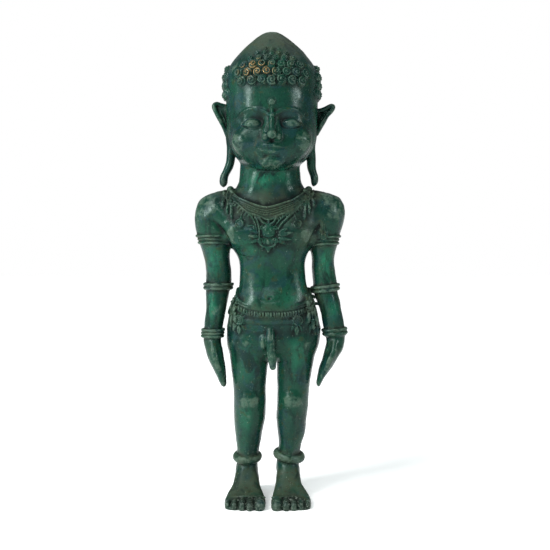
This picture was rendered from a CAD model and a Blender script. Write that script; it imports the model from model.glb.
# Standing ancestor figure, cast bronze with a dark green patina, seen from the front on a plain pale floor.
#
# The figure's surface is worked out as a distance field in millimetres from the same named sections as
# the construction: round forms are joined softly, as modelling wax joins, then the surface is drawn
# through the field, and the fine relief (collar, pendant, belt, rosettes, snail curls, nails) is raised
# or cut on it along its normals. +Z is up, the figure faces -Y, its right arm and leg are at -X.
import math
import bpy
import numpy as np
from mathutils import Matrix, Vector


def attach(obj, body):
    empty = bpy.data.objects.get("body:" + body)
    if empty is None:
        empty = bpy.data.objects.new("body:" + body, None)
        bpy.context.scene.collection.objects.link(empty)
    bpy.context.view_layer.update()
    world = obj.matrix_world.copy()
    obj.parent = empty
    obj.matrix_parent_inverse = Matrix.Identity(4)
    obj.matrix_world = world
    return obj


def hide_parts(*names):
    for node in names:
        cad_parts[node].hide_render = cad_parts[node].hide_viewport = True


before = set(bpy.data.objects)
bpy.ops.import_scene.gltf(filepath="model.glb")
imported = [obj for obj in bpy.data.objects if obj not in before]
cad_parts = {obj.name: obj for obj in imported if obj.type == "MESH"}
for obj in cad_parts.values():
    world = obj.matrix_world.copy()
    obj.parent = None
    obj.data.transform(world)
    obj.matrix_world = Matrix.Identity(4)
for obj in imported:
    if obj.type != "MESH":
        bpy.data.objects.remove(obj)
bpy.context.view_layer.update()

MM = 0.001
GRID = 0.62          # field spacing, mm
MOST_TRIANGLES = 190000
HEIGHT = 465.0
HEAD_X = 1.0
NECK_X = -1.0
CHIN_Z = 325.0
HAIRLINE_Z = 401.0
FACE_THIRD = (HAIRLINE_Z - CHIN_Z) / 3
BROW_Z = HAIRLINE_Z - FACE_THIRD
NOSE_Z = BROW_Z - FACE_THIRD
BANGLE_PROUD = 3.0
ARMLET_PROUD = 1.8
ANKLET_R = 4.5
FOOT_R = (-44.6, -5.0)
FOOT_L = (0.2, 38.6)


# ------------------------------------------------------------------ smooth curves through stations
def curve(rows):
    """rows: (at, a, b, ...). Returns a function of an array that gives each column on a smooth curve."""
    r = np.array(rows, float)
    at, val = r[:, 0], r[:, 1:]
    n = len(at)
    slope = np.empty_like(val)
    for i in range(n):
        lo, hi = max(0, i - 1), min(n - 1, i + 1)
        slope[i] = (val[hi] - val[lo]) / (at[hi] - at[lo])

    def f(q):
        q = np.asarray(q, float)
        i = np.clip(np.searchsorted(at, q) - 1, 0, n - 2)
        h = at[i + 1] - at[i]
        t = np.clip((q - at[i]) / h, 0, 1)
        t2, t3 = t * t, t * t * t
        out = []
        for k in range(val.shape[1]):
            out.append((2 * t3 - 3 * t2 + 1) * val[i, k] + (t3 - 2 * t2 + t) * h * slope[i, k]
                       + (-2 * t3 + 3 * t2) * val[i + 1, k] + (t3 - t2) * h * slope[i + 1, k])
        return out
    f.lo, f.hi = at[0], at[-1]
    f.box = (val.min(0), val.max(0))
    return f


# z, left x, right x, front y, back y
TORSO = curve([
    (136, -24, 28, -8, 14), (142, -34, 38, -18, 24), (151, -42.5, 46.5, -24, 31), (167, -44, 49, -25, 31),
    (175, -43, 48, -26, 29), (187, -40.5, 45.5, -26, 24), (195, -36.5, 42.5, -26, 20), (203, -33.5, 39, -25.5, 18),
    (211, -31.5, 35.8, -25, 17), (223, -31, 34, -24, 17), (231, -31.3, 33.7, -24.5, 18), (239, -33, 35, -26, 20),
    (247, -38, 39, -28, 22.5), (257, -46, 45, -30.5, 25), (268, -52, 51, -31.5, 27), (280, -56, 55, -30, 28),
    (290, -57, 56, -26.5, 27), (299, -54, 53, -20, 25), (304, -45, 43, -15, 22), (308, -30, 28, -9, 17)])
LEG_R = curve([
    (26, -35, -14, -8, 17), (33, -34.5, -13.5, -8.5, 16.5), (47, -34.2, -11.8, -9.5, 17), (63, -36, -9, -12, 20),
    (79, -37, -6, -15, 21.5), (95, -37, -5, -18, 18), (107, -37, -5, -19, 16.5), (119, -38.3, -4.3, -19.5, 18),
    (131, -40, -3, -20.5, 22), (150, -42, 0, -21, 27), (168, -40, 1, -18, 24)])
LEG_L = curve([
    (26, 5, 28, -8, 17), (33, 5.5, 28, -8.5, 16.5), (51, 7.8, 30.3, -10, 17.5), (63, 7, 34, -12, 20),
    (79, 5.3, 35.7, -15, 21.5), (95, 6, 37.2, -18, 18), (111, 6, 38.3, -19, 16.8), (127, 6, 41, -20, 21),
    (135, 5.5, 42.5, -20.5, 23), (150, 4, 45.5, -21, 27), (168, 3, 46, -18, 24)])
ARM_R = curve([
    (111, -48.6, -45.0, -9, -3), (115, -51, -44.2, -11.5, 0.5), (123, -54.6, -44.4, -14.5, 4), (131, -58.6, -45.2, -16.5, 6.5),
    (139, -62.6, -46.6, -17, 8), (147, -65, -48, -15, 8), (155, -67, -49.5, -12.5, 7), (163, -67, -49.5, -11.5, 6.5),
    (171, -66.5, -48, -12, 7.5), (187, -65, -45, -13, 11), (203, -65, -42, -12.5, 15), (215, -65, -39.6, -12, 17),
    (227, -65, -40, -12.8, 16.5), (235, -66, -41, -13.5, 15.5), (243, -68, -41, -14.5, 15.5),
    (251, -70.5, -40, -16, 16.5), (259, -73.2, -38, -17.5, 18), (267, -75, -35, -19, 20), (275, -76, -34, -20, 21),
    (283, -76, -34, -20, 21.5), (291, -74, -35, -18.5, 21), (295, -72, -36, -17, 20), (299, -68, -38, -14.5, 18),
    (302, -62, -42, -11, 15), (304, -55, -48, -6, 9)])
ARM_L = curve([
    (111, 45.6, 48.6, -9, -3), (115, 44.8, 50.2, -11.5, 0.5), (123, 46, 55, -14.5, 4), (131, 48, 61, -16.5, 6.5),
    (139, 51, 66, -17, 8), (147, 53, 71, -15, 8), (155, 55, 73, -12.5, 7), (163, 54, 73.5, -11.5, 6.5),
    (171, 52, 73, -12, 7.5), (187, 49, 70, -13, 11), (195, 46, 69, -12.8, 13), (203, 43, 67, -12.5, 15),
    (215, 42, 66, -12, 17), (227, 41, 64, -12.8, 16.5), (235, 41, 63, -13.5, 15.5), (243, 40, 64, -14.5, 15.5),
    (251, 38, 66, -16, 16.5), (259, 36, 68, -17.5, 18), (267, 34, 70.3, -19, 20), (275, 33, 72.5, -20, 21),
    (283, 33, 74, -20, 21.5), (291, 34, 73, -18.5, 21), (295, 35, 71, -17, 20), (299, 37, 68, -14.5, 18),
    (302, 41, 61, -11, 15), (304, 47, 54, -6, 9)])
NECK = curve([
    (296, -38, 36, -22, 30), (304, -34.5, 32.5, -23.5, 29.5), (311, -32.6, 30.6, -24.5, 29),
    (320, -31.6, 29.6, -25, 29), (330, -31, 29, -25.5, 30), (346, -30.5, 28.5, -26, 32)])
HEAD = curve([
    (324, -13, 15, -33, 6), (329, -24, 26, -37.5, 22), (336, -33, 35, -40.5, 34), (346, -39, 41, -42.5, 42),
    (358, -42.8, 44.8, -43, 48), (372, -44.3, 46.3, -43, 52), (386, -44.8, 46.8, -44, 54),
    (400, -45, 47, -44.5, 54.5), (412, -45, 47, -44, 52), (422, -44.5, 46.5, -42, 48), (430, -41, 43, -38, 43.5),
    (438, -35, 37, -32.5, 37.5), (446, -28, 30, -26, 31), (453, -20.5, 22.5, -19, 24), (459, -13, 15, -11.5, 17),
    (463, -6.5, 8.5, -5, 10.5), (465, -0.5, 2.5, 1.2, 4.2)])
LOBE_R = curve([
    (309, -49, -46.5, 4, 8), (313, -51.5, -44, 1.5, 10), (320, -51, -43, 0.5, 10.5), (328, -47.5, -38.5, 0, 11),
    (336, -45, -36.5, -1, 12), (348, -44.5, -36, -2, 13.5), (360, -45.6, -38, -2, 15), (372, -45.4, -40, 0, 15)])
LOBE_L = curve([
    (310, 41.5, 44, 4, 8), (314, 40.5, 47, 1.5, 10), (320, 39.5, 47.3, 0.5, 10.5), (328, 36.5, 45.3, 0, 11),
    (336, 36, 45, -1, 12), (348, 36.5, 44.5, -2, 13.5), (360, 39, 46, -2, 15), (372, 41, 46.4, 0, 15)])


# ------------------------------------------------------------------ the distance field
class Field:
    def __init__(self, lo, hi, h):
        self.lo, self.h = np.array(lo, float), h
        self.n = np.ceil((np.array(hi, float) - self.lo) / h).astype(int) + 1
        self.d = np.full(self.n, 40.0, np.float32)

    def part(self, lo, hi):
        a = np.clip(np.floor((np.array(lo, float) - self.lo) / self.h).astype(int), 0, self.n - 1)
        b = np.clip(np.ceil((np.array(hi, float) - self.lo) / self.h).astype(int) + 1, 1, self.n)
        ax = [(self.lo[i] + self.h * np.arange(a[i], b[i])).astype(np.float32) for i in range(3)]
        return (slice(a[0], b[0]), slice(a[1], b[1]), slice(a[2], b[2])), \
            ax[0][:, None, None], ax[1][None, :, None], ax[2][None, None, :]

    def join(self, lo, hi, fn, k=0.0):
        s, x, y, z = self.part(lo, hi)
        d = fn(x, y, z)
        kk = k(z) if callable(k) else k
        self.d[s] = smin(self.d[s], d, kk)

    def cut(self, lo, hi, fn, k=0.0):
        s, x, y, z = self.part(lo, hi)
        self.d[s] = -smin(-self.d[s], fn(x, y, z), k)

    def at(self, p):
        """The field at points (n, 3), straight between its nodes."""
        q = (p - self.lo) / self.h
        i = np.clip(np.floor(q).astype(int), 0, self.n - 2)
        f = q - i
        out = 0
        for dx in (0, 1):
            for dy in (0, 1):
                for dz in (0, 1):
                    w = (f[:, 0] if dx else 1 - f[:, 0]) * (f[:, 1] if dy else 1 - f[:, 1]) * (f[:, 2] if dz else 1 - f[:, 2])
                    out = out + w * self.d[i[:, 0] + dx, i[:, 1] + dy, i[:, 2] + dz]
        return out

    def slope(self, p, e=None):
        e = e or self.h * 0.6
        g = np.empty_like(p)
        for k in range(3):
            q = p.copy()
            q[:, k] += e
            r = p.copy()
            r[:, k] -= e
            g[:, k] = (self.at(q) - self.at(r)) / (2 * e)
        return g


def smin(a, b, k):
    if np.isscalar(k) and k <= 0:
        return np.minimum(a, b)
    w = np.maximum(k - np.abs(a - b), 0)
    return np.minimum(a, b) - w * w / (4 * k)


def radial(section, x, y, z, power):
    """Distance out from a section's wall, along the spoke from its middle."""
    x0, x1, y0, y1 = [np.asarray(v, np.float32) for v in section(z)]
    mx, my, rx, ry = (x0 + x1) / 2, (y0 + y1) / 2, (x1 - x0) / 2, (y1 - y0) / 2
    u, v = np.abs(x - mx) / rx, np.abs(y - my) / ry
    if power == 2:
        f = np.sqrt(u * u + v * v)
    else:
        f = np.power(np.power(u, power) + np.power(v, power), 1 / power)
    rho = np.sqrt((x - mx) ** 2 + (y - my) ** 2)
    f = np.maximum(f, 1e-4)
    return np.where(f < 0.3, (f - 1) * np.minimum(rx, ry), rho - rho / f).astype(np.float32)


def loft(field, section, power=2.0, k=0.0, pad=10.0, ends=2.0):
    """Joins a form that stands on its stations. The spoke distance is brought close to the true one."""
    lo, hi = section.box
    a = (lo[0] - pad, lo[2] - pad, section.lo - pad)
    b = (hi[1] + pad, hi[3] + pad, section.hi + pad)

    def fn(x, y, z):
        zc = np.clip(z, section.lo, section.hi)
        d = radial(section, x, y, zc, power)
        g = np.gradient(d, field.h)
        d = d / np.maximum(np.sqrt(g[0] ** 2 + g[1] ** 2 + g[2] ** 2), 1.0)
        over = np.maximum(section.lo - z, z - section.hi)
        return -smin(-d, -(over + 0 * d), ends)
    field.join(a, b, fn, k)


def lump(field, c, r, k=0.0, turn=None, cut=False, pad=None):
    """An ellipsoid: centre, half sizes, and an optional 3x3 turn whose rows are its axes."""
    c, r = np.array(c, float), np.array(r, float)
    m = (k if not callable(k) else 6) + 2 * field.h + 1 if pad is None else pad
    R = r.max() + m if turn is not None else r + m

    def fn(x, y, z):
        p = [x - c[0], y - c[1], z - c[2]]
        if turn is not None:
            p = [turn[i][0] * p[0] + turn[i][1] * p[1] + turn[i][2] * p[2] for i in range(3)]
        k0 = np.sqrt((p[0] / r[0]) ** 2 + (p[1] / r[1]) ** 2 + (p[2] / r[2]) ** 2)
        k1 = np.sqrt((p[0] / r[0] ** 2) ** 2 + (p[1] / r[1] ** 2) ** 2 + (p[2] / r[2] ** 2) ** 2)
        return (k0 * (k0 - 1) / np.maximum(k1, 1e-6)).astype(np.float32)
    (field.cut if cut else field.join)(c - R, c + R, fn, k)


def rod(field, pts, radii, k=0.0, cut=False, flat=None):
    """A round rod along points, with a radius at each. flat squeezes it: (axis vector, factor)."""
    pts = np.array(pts, float)
    radii = np.array(np.broadcast_to(radii, len(pts)), float)
    m = (k if not callable(k) else 6) + radii.max() + 2 * field.h + 1
    lo, hi = pts.min(0) - m, pts.max(0) + m

    def fn(x, y, z):
        best = None
        for a, b, ra, rb in zip(pts[:-1], pts[1:], radii[:-1], radii[1:]):
            ab = b - a
            L = float(ab @ ab)
            px, py, pz = x - a[0], y - a[1], z - a[2]
            t = np.clip((px * ab[0] + py * ab[1] + pz * ab[2]) / L, 0, 1)
            d = np.sqrt((px - t * ab[0]) ** 2 + (py - t * ab[1]) ** 2 + (pz - t * ab[2]) ** 2) - (ra + t * (rb - ra))
            best = d if best is None else np.minimum(best, d)
        return best.astype(np.float32)
    (field.cut if cut else field.join)(lo, hi, fn, k)


def smooth_path(pts, n):
    """n points on a Catmull-Rom curve through pts."""
    p = np.array(pts, float)
    p = np.vstack([2 * p[0] - p[1], p, 2 * p[-1] - p[-2]])
    m = len(p) - 3
    out = []
    for q in np.linspace(0, m, n):
        i = min(int(q), m - 1)
        t = q - i
        a, b, c, d = p[i], p[i + 1], p[i + 2], p[i + 3]
        out.append(0.5 * (2 * b + (c - a) * t + (2 * a - 5 * b + 4 * c - d) * t * t + (3 * b - a - 3 * c + d) * t ** 3))
    return np.array(out)


def turned(pitch=0.0, yaw=0.0, roll=0.0):
    """Rows of a turn about X, then Z, then Y, in degrees."""
    a, b, c = [math.radians(v) for v in (pitch, yaw, roll)]
    rx = np.array([[1, 0, 0], [0, math.cos(a), -math.sin(a)], [0, math.sin(a), math.cos(a)]])
    rz = np.array([[math.cos(b), -math.sin(b), 0], [math.sin(b), math.cos(b), 0], [0, 0, 1]])
    ry = np.array([[math.cos(c), 0, math.sin(c)], [0, 1, 0], [-math.sin(c), 0, math.cos(c)]])
    return (rx @ rz @ ry).T


def rings(field, section, power, zc, offsets, r, proud, tilt=0.0, k=0.5, sway=0.0):
    """Round hoops on a limb: one for each height offset, their middles `proud` - r out from its wall."""
    x0, x1, y0, y1 = [float(v) for v in section(np.array(zc))]
    mx, my = (x0 + x1) / 2, (y0 + y1) / 2
    hi_off = max(abs(o) for o in offsets) + r
    reach = abs(tilt) * (x1 - x0) / 2 + hi_off + 4

    def fn(x, y, z):
        d = radial(section, x, y, np.clip(z, section.lo, section.hi), power)
        lift = z - zc - tilt * (x - mx) - sway * (y - my)
        best = None
        for o in offsets:
            q = np.sqrt((d - (proud - r)) ** 2 + (lift - o) ** 2) - r
            best = q if best is None else np.minimum(best, q)
        return best
    field.join((x0 - 9, y0 - 9, zc - reach), (x1 + 9, y1 + 9, zc + reach), fn, k)


def skin(x, z, out=0.0):
    """The point of the figure's front surface seen from the front at x and z, or else the nearest inwards."""
    k = int(round((z - F.lo[2]) / F.h))
    for _ in range(60):
        col = F.d[int(round((x - F.lo[0]) / F.h)), :, k]
        j = int(np.argmax(col < 0))
        if j > 0:
            break
        x -= math.copysign(0.5, x)
    a, b = float(col[j - 1]), float(col[j])
    return (x, F.lo[1] + F.h * (j - 1 + a / (a - b)) - out, z)


def on_skin(pts, n, out=0.0):
    """A smooth path laid on the front surface through places (x, z)."""
    p = smooth_path([(x, 0, z) for x, z in pts], n)
    return [skin(q[0], q[2], out) for q in p]


# ------------------------------------------------------------------ building the figure's field
F = Field((-84, -62, -4), (86, 68, 470), GRID)


def limb_soft(z):
    """Arms melt into the shoulders and stay clear of the hips."""
    return (0.8 + 5.2 * np.clip((z - 240) / 14, 0, 1)).astype(np.float32)


loft(F, TORSO, 2.3)
for leg in (LEG_R, LEG_L):
    loft(F, leg, 2.0, k=lambda z: (1.5 + 4.5 * np.clip((z - 130) / 12, 0, 1)).astype(np.float32))
# buttocks, chest, belly and the slopes from the neck
lump(F, (-19, 15, 153), (21, 18, 19), 5)
lump(F, (22, 15, 153), (21, 18, 19), 5)
rod(F, smooth_path([(1.5, 33, 170), (1.5, 34.5, 155), (1.5, 30, 140)], 6), 1.6, 3, cut=True)
lump(F, (-24, -12, 263), (23, 20.5, 15), 5)
lump(F, (22, -12, 263), (23, 20.5, 15), 5)
lump(F, (1, -13.5, 188), (27, 15.5, 22), 8)
for arm in (ARM_R, ARM_L):
    loft(F, arm, 2.0, k=limb_soft)
for sx, tip in ((-1, -54), (1, 52)):
    rod(F, [(sx * 25 - 1, 8, 302), (tip, 5, 290)], (9, 9), 8)
loft(F, NECK, 2.0, k=6)
# backbone and shoulder blades
rod(F, smooth_path([(0, 30.5, 290), (0, 29.5, 265), (1, 22.5, 235), (1.5, 20.5, 212), (2, 26, 188)], 12), 1.8, 5, cut=True)
lump(F, (-23, 20, 272), (15, 8.5, 17), 6)
lump(F, (23, 20, 272), (15, 8.5, 17), 6)
# creases between arm and chest, the fold under the chest, and the navel
for path in ([(-55.5, 274.5), (-50.5, 269.5), (-46, 263.5), (-43, 257), (-41, 250)], [(50.5, 273), (46.5, 268), (42.8, 262), (39.6, 256), (37.4, 250)]):
    rod(F, on_skin(path, 10), np.interp(np.linspace(0, 1, 10), [0, 0.35, 0.8, 1], [0.2, 1.4, 2.0, 1.2]), 5.0, cut=True)
rod(F, on_skin([(-53, 285), (-45, 276), (-37, 267.5)], 8, -3.6), 3.0, 9.0)
rod(F, on_skin([(-31, 241.5), (-22, 239.4), (-13.5, 239.6)], 6, 0.1), 0.35, 1.6, cut=True)
lump(F, skin(-1.5, 199.6), (1.7, 1.3, 1.5), 1.2, cut=True)
rod(F, on_skin([(-9, 198.2), (-1.5, 196.2), (7, 197.4)], 7, 0.2), 0.45, 1.6, cut=True)
# knees and shins
for x, zk in ((-21, 98), (21.5, 99)):
    lump(F, (x, -12.5, zk), (8.5, 8.2, 10), 5)
    rod(F, smooth_path([(x - 0.2, -15, 84), (x - 1.2, -10.5, 60), (x - 1.8, -8.5, 46)], 6), (2.4, 2.2, 2, 2, 1.8, 1.6), 5)

# ---- hands: fingers held together, palm towards the thigh, and a thumb along the front
def hand(section, thumb):
    for place, (top, low) in (((-0.42), (143, 113.5)), ((0.06), (145, 116.5)), ((0.52), (144, 121.5))):
        for face in (-1, 1):
            path = []
            for z in np.linspace(top, low, 9):
                x0, x1, y0, y1 = [float(v) for v in section(np.array(z))]
                wide = math.sqrt(max(0.05, 1 - place * place))
                path.append(((x0 + x1) / 2 + face * wide * (x1 - x0) / 2, (y0 + y1) / 2 + place * (y1 - y0) / 2, z))
            rod(F, path, np.interp(np.linspace(0, 1, 9), [0, 0.3, 1], [0.15, 0.6, 0.75]), 0.9, cut=True)
    rod(F, smooth_path(thumb, 9), (3.9, 3.9, 3.8, 3.6, 3.3, 3.0, 2.8, 2.6, 2.3), 1.0)


hand(ARM_R, [(-57.5, -9.2, 156), (-56.4, -13.2, 148), (-54.4, -15.6, 141), (-51.8, -15.8, 133), (-50.2, -15.0, 129)])
hand(ARM_L, [(63.5, -9.2, 156), (62.0, -13.2, 148), (59.0, -15.6, 141), (55.6, -15.8, 133), (53.8, -15.0, 129)])

# ---- feet: stations along the foot, then toes with nails
def foot(side, x0, inner, outer):
    prof = curve([
        (-44, inner + 5, outer - 5, 3.0, 0), (-40, inner + 2, outer - 2, 5.0, 0), (-35, inner + 0.5, outer - 0.5, 8.6, 0),
        (-31, inner, outer, 11, 0), (-24, inner + 1, outer - 1, 15.5, 0),
        (-15, x0 - 14, x0 + 14.5, 25, 0), (-6, x0 - 12.5, x0 + 13, 35, 0), (4, x0 - 12, x0 + 12.5, 39, 0),
        (14, x0 - 11.5, x0 + 11.5, 34, 0), (21, x0 - 9, x0 + 9, 22, 0), (24.5, x0 - 4.5, x0 + 4.5, 11, 0)])

    def fn(x, y, z):
        yc = np.clip(y, -44, 24.5)
        x0_, x1_, top, _ = [np.asarray(v, np.float32) for v in prof(yc)]
        mid = top * 0.3
        rz = np.where(z > mid, top - mid, mid + 5)
        rx, mx = (x1_ - x0_) / 2, (x0_ + x1_) / 2
        f = np.power(np.power(np.abs(x - mx) / rx, 2.4) + np.power(np.abs(z - mid) / rz, 2.4), 1 / 2.4)
        rho = np.sqrt((x - mx) ** 2 + (z - mid) ** 2)
        d = np.where(f < 0.3, (f - 1) * np.minimum(rx, rz), rho - rho / np.maximum(f, 1e-4))
        g = np.gradient(d.astype(np.float32), F.h)
        d = d / np.maximum(np.sqrt(g[0] ** 2 + g[1] ** 2 + g[2] ** 2), 1.0)
        over = np.maximum(-44 - y, y - 24.5)
        return (-smin(-d, -(over + 0 * d), 3.0)).astype(np.float32)
    F.join((inner - 8, -46, -4), (outer + 8, 34, 48), fn, 2.5)
    wide = outer - inner
    big, way = (outer, -1) if side < 0 else (inner, 1)
    share, reach = (0.27, 0.2, 0.19, 0.18, 0.16), (-48.0, -48.2, -47.2, -45.2, -42.4)
    at = 0.0
    for i, (w, far) in enumerate(zip(share, reach)):
        x = big + way * (0.6 + (wide - 1.2) * (at + w / 2))
        at += w
        half, tall = wide * w * 0.5, (8.4, 8.0, 7.8, 7.4, 6.8)[i]
        fan = way * (i - 1.2) * 0.7
        # knuckle and tip, both broad at the floor, so that only the tops part
        lump(F, (x - fan, far + 13.5, tall * 0.62), (half * 1.02, 8.0, tall * 0.62), 1.2)
        lump(F, (x, far + 6.2, tall * 0.42), (half * 1.04, 6.3, tall * 0.8), 0.7)
        # nail: a thin plate let into the top of the tip, with a groove behind it
        tilt = turned(pitch=-38)
        lump(F, (x, far + 3.4, tall * 1.02), (half * 0.62, 2.9, 0.75), 0.2, turn=tilt)
        lump(F, (x, far + 6.6, tall * 1.26), (half * 0.62, 0.7, 0.7), 0.5, cut=True)
    # the raised line at the roots of the toes
    row = smooth_path([(big + way * 1.0, -33.6, 9.2), (big + way * wide * 0.25, -35.0, 10.2), (big + way * wide * 0.6, -33.8, 10.4),
                       (big + way * (wide - 2), -29, 8.2)], 11)
    rod(F, row, 0.85, 1.0)


foot(-1, -24.3, *FOOT_R)
foot(1, 17, *FOOT_L)

# ---- bangles, armlets and anklets
rings(F, ARM_R, 2, 256.8, (-3.4, 3.4), 1.3, 1.8, k=0.2)
rings(F, ARM_R, 2, 256.8, (0.0,), 1.2, 0.9, k=0.2)
rings(F, ARM_L, 2, 255.5, (-3.4, 3.4), 1.3, 1.8, tilt=0.05, k=0.2)
rings(F, ARM_L, 2, 255.5, (0.0,), 1.2, 0.9, tilt=0.05, k=0.2)
rings(F, ARM_R, 2, 210.2, (-1.8, 1.8), 1.75, BANGLE_PROUD, k=0.2)
rings(F, ARM_L, 2, 208.2, (-1.8, 1.8), 1.75, BANGLE_PROUD, tilt=0.13, k=0.2)
rings(F, ARM_R, 2, 163.8, (-3.1, 0, 3.1), 1.55, BANGLE_PROUD, k=0.15)
rings(F, ARM_L, 2, 166.2, (-2.7, 0.9), 1.75, BANGLE_PROUD, tilt=0.09, k=0.15)
rings(F, ARM_L, 2, 162.0, (0.0,), 1.5, 1.6, tilt=0.09, k=0.4)
for x, z, rx, ry, tilt in ((-23.7, 39, 10.2, 12, 0.0), (18.2, 40.6, 11.4, 12, -0.14)):
    def anklet(px, py, pz, x=x, z=z, rx=rx, ry=ry, tilt=tilt):
        u, v = (px - x) / rx, (py - 4) / ry
        rho = np.sqrt((px - x) ** 2 + (py - 4) ** 2)
        d = rho - rho / np.maximum(np.sqrt(u * u + v * v), 1e-3)
        return (np.sqrt(d * d + (pz - z - tilt * (px - x) - 0.06 * (py - 4)) ** 2) - ANKLET_R).astype(np.float32)
    F.join((x - 22, -16, z - 12), (x + 22, 24, z + 12), anklet, 0.6)

# ---- head, ears and face
loft(F, HEAD, 2.15, k=2.5)
for lobe in (LOBE_R, LOBE_L):
    loft(F, lobe, 2.0, k=1.6, ends=3.0)
# ear shells: a plate behind, a rolled rim round it, a fold inside it
rod(F, smooth_path([(-53.6, 8.6, 388.0), (-50.0, 9.0, 380.5), (-46.5, 9.5, 372.0), (-43.5, 10, 362)], 8), (3.4, 4.2, 4.4, 4.4, 4.2, 3.8, 3.2, 2.6), 2.0)
rod(F, smooth_path([(-46.5, 9.6, 387.5), (-44.0, 11, 374)], 4), 4.6, 3.0)
rod(F, smooth_path([(-52.0, 8.4, 389.0), (-46.0, 9.0, 388.0)], 3), 3.2, 3.0)
rod(F, smooth_path([(-44.5, 8.0, 390.6), (-50.0, 6.6, 391.8), (-54.6, 5.4, 392.9), (-57.1, 4.4, 391.0), (-55.9, 3.2, 386.4),
                    (-52.6, 2.4, 379.6), (-49.4, 2.0, 373.3), (-46.7, 2.4, 367.4), (-44.4, 3.4, 361.5)], 26),
    np.interp(np.linspace(0, 1, 26), [0, 0.3, 0.45, 1], [2.5, 2.5, 2.6, 1.7]), 0.6)
rod(F, smooth_path([(-51.8, 5.6, 387.5), (-49.0, 4.6, 381.5), (-46.4, 4.0, 375.5), (-44.6, 4.4, 369.0)], 9), np.linspace(0.7, 1.4, 9), 0.9)
rod(F, smooth_path([(58.8, 8.4, 389.0), (54.5, 9.0, 382.5), (50.0, 9.5, 374.0), (46.0, 10, 364)], 8), (2.8, 3.5, 4.0, 4.2, 4.0, 3.6, 3.0, 2.4), 2.0)
rod(F, smooth_path([(47.0, 10.5, 384.0), (46.0, 11, 374)], 4), 4.0, 3.0)
rod(F, smooth_path([(45.6, 8.0, 386.4), (51.5, 6.8, 387.2), (56.6, 5.6, 389.2), (60.6, 4.6, 391.0), (62.4, 4.0, 389.8),
                    (60.6, 3.2, 386.0), (56.0, 2.4, 381.0), (52.9, 2.0, 376.0), (49.4, 2.2, 370.2), (46.2, 3.2, 362.5)], 28),
    np.interp(np.linspace(0, 1, 28), [0, 0.3, 0.45, 1], [2.4, 2.4, 2.4, 1.7]), 0.6)
rod(F, smooth_path([(57.0, 5.6, 386.0), (53.0, 4.8, 381.5), (50.0, 4.2, 376.5), (47.4, 4.4, 370.0)], 9), np.linspace(0.7, 1.4, 9), 0.9)


def face(dx, y, z):
    return (HEAD_X + dx, y, z)


# sockets, lowered lids and brows
for s in (-1, 1):
    lump(F, face(s * 17.0, -46.4, 368.0), (13.0, 9.6, 7.8), 5.0, cut=True)
    lump(F, face(s * 22, -28.5, 351.5), (16, 11.8, 13), 9)
    lump(F, face(s * 17.2, -33.2, 366.4), (10.2, 8.2, 6.4), 1.0, turn=turned(yaw=-s * 12))
    rod(F, smooth_path([face(s * 8.2, -39.0, 366.6), face(s * 11.5, -40.8, 370.6), face(s * 17, -41.2, 373.0),
                        face(s * 23, -38.6, 371.6), face(s * 28.4, -34.0, 367.6)], 14), 0.5, 0.7, cut=True)
    rod(F, smooth_path([face(s * 7.6, -40.0, 364.8), face(s * 12, -41.6, 362.6), face(s * 17.4, -41.4, 361.9),
                        face(s * 23.2, -38.8, 363.0), face(s * 29.0, -34.0, 365.8)], 14), 0.65, 0.6, cut=True)
    rod(F, smooth_path([face(s * 8.2, -39.0, 362.9), face(s * 12.4, -40.0, 360.4), face(s * 17.6, -39.7, 359.6),
                        face(s * 23.2, -37.2, 360.8), face(s * 28.6, -33.4, 363.8)], 14), 1.0, 1.6)
# nose: a ridge with sloping sides, a rounded tip and wings
for s in (-1, 1):
    rod(F, [face(s * 2.2, -40.5, 373), face(s * 4.6, -42.5, 356)], (3.4, 4.2), 4)
rod(F, smooth_path([face(0, -44.6, 379), face(0, -45.8, 372), face(0, -48.4, 363), face(0, -51.2, 356.4)], 10),
    np.interp(np.linspace(0, 1, 10), [0, 0.3, 1], [1.2, 2.2, 3.4]), 2.4)
lump(F, face(0, -51.0, 355.0), (4.5, 4.6, 4.0), 1.8)
for s in (-1, 1):
    lump(F, face(s * 5.6, -46.4, 353.6), (3.4, 4.7, 3.4), 1.5)
    lump(F, face(s * 2.9, -49.2, 350.7), (1.5, 2.2, 1.2), 0.7, cut=True)
    rod(F, smooth_path([face(s * 8.8, -46.4, 356.6), face(s * 9.7, -45.8, 353.2), face(s * 8.6, -46.0, 350.4)], 6), 0.35, 1.2, cut=True)
for s in (-1, 1):
    brow = smooth_path([(s * 0.6, 0, 373.6), (s * 4.0, 0, 375.8), (s * 10, 0, 379.2), (s * 18, 0, 381.0), (s * 27, 0, 378.8), (s * 34, 0, 372.8)], 16)
    rod(F, [skin(HEAD_X + q[0], q[2], -0.35) for q in brow], np.interp(np.linspace(0, 1, 16), [0, 0.3, 0.75, 1], [1.0, 1.5, 1.3, 0.6]), 1.6)
# mouth and chin
lump(F, face(0, -36.6, 342.8), (17, 8.4, 9.0), 8)
lump(F, face(0, -37.0, 330.6), (10, 7.4, 6.4), 5)
rod(F, [skin(HEAD_X, 349.4, 0.6), skin(HEAD_X, 346.6, 0.5)], (0.9, 1.1), 1.8, cut=True)
for s in (-1, 1):
    rod(F, smooth_path([skin(HEAD_X + s * 1.6, 345.4, -1.0), skin(HEAD_X + s * 6.5, 345.0, -1.0), skin(HEAD_X + s * 12.2, 343.4, -0.8)], 8),
        np.linspace(2.3, 0.8, 8), 1.0)
rod(F, smooth_path([skin(HEAD_X - 11.4, 341.8, -0.7), skin(HEAD_X - 5, 339.9, -1.2), skin(HEAD_X, 339.5, -1.3), skin(HEAD_X + 5, 339.9, -1.2),
                    skin(HEAD_X + 11.4, 341.8, -0.7)], 13), np.interp(np.linspace(-1, 1, 13), [-1, 0, 1], [0.8, 2.6, 0.8]), 1.0)
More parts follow.
